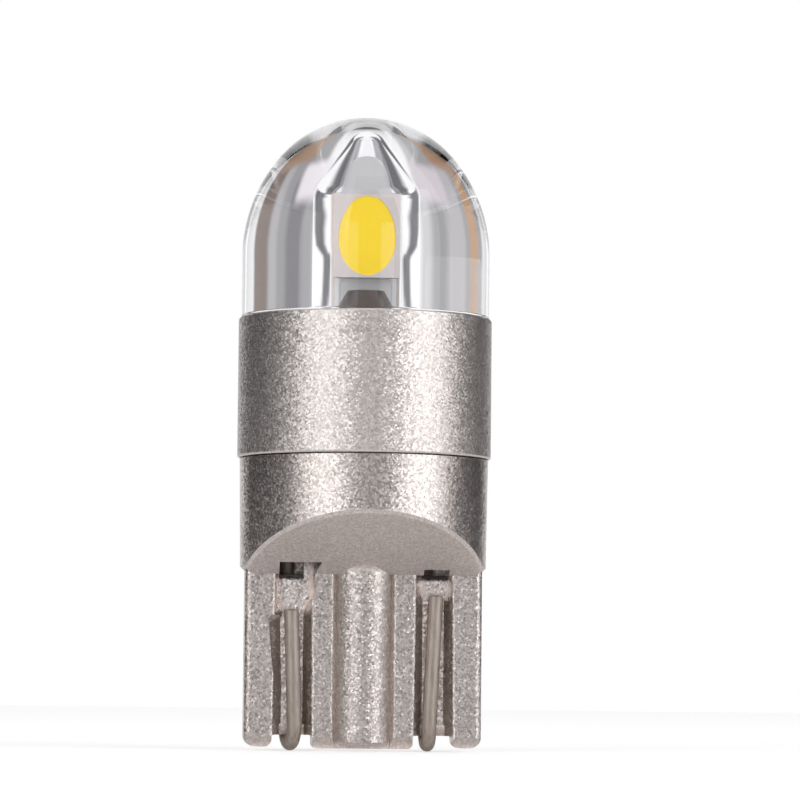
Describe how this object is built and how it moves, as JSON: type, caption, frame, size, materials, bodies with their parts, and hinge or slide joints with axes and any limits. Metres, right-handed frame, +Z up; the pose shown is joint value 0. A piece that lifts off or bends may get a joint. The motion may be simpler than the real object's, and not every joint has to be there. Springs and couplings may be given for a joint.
{
  "type": "wedge base led bulb",
  "caption": "Small wedge base lamp with a clear domed lens, a blasted metal sleeve and a flat slotted wedge cap with wire contacts.",
  "frame": {"origin": "on the bulb's axis, level with the lowest point of the contact wire loops", "axes": "+Z up the bulb to the tip of the lens, +X along the width of the blade, -Y the face that shows the free wire ends"},
  "size_m": [0.01, 0.01, 0.025],
  "materials": {
    "clear_lens": "clear moulded acrylic, polished",
    "blasted_aluminium": "turned and bead blasted",
    "silver_painted_plastic": "moulded plastic with silver metallic paint",
    "white_board": "laminate with white solder mask",
    "dark_adhesive": "dark brown adhesive, satin",
    "white_package": "white moulded package",
    "phosphor": "yellow phosphor in silicone",
    "die": "die under the phosphor",
    "solder": "reflowed solder",
    "tinned_copper": "tinned copper wire, cut ends bare",
    "black_epoxy": "black moulding compound",
    "tin_plate": "matt tin plate",
    "resistor_glaze": "dark protective glaze on ceramic",
    "capacitor_ceramic": "tan fired ceramic"
  },
  "bodies": {
    "root": {"lens": "clear_lens", "heat_sink_sleeve": "blasted_aluminium", "wedge_base": "silver_painted_plastic", "circuit_board": "white_board", "board_adhesive": "dark_adhesive", "led_housing_front": "white_package", "led_housing_rear": "white_package", "led_phosphor_front": "phosphor", "led_phosphor_rear": "phosphor", "led_chip_front": "die", "led_chip_rear": "die", "led_solder_front": "solder", "led_solder_rear": "solder", "contact_wire_left": "tinned_copper", "contact_wire_right": "tinned_copper", "solder_joint_left": "solder", "solder_joint_right": "solder", "rectifier_body": "black_epoxy", "rectifier_leads": "tin_plate", "driver_chip_body": "black_epoxy", "driver_chip_leads": "tin_plate", "sense_resistor": "resistor_glaze", "resistor_terminals": "tin_plate", "capacitor": "capacitor_ceramic", "capacitor_terminals": "tin_plate"}
  },
  "joints": []
}
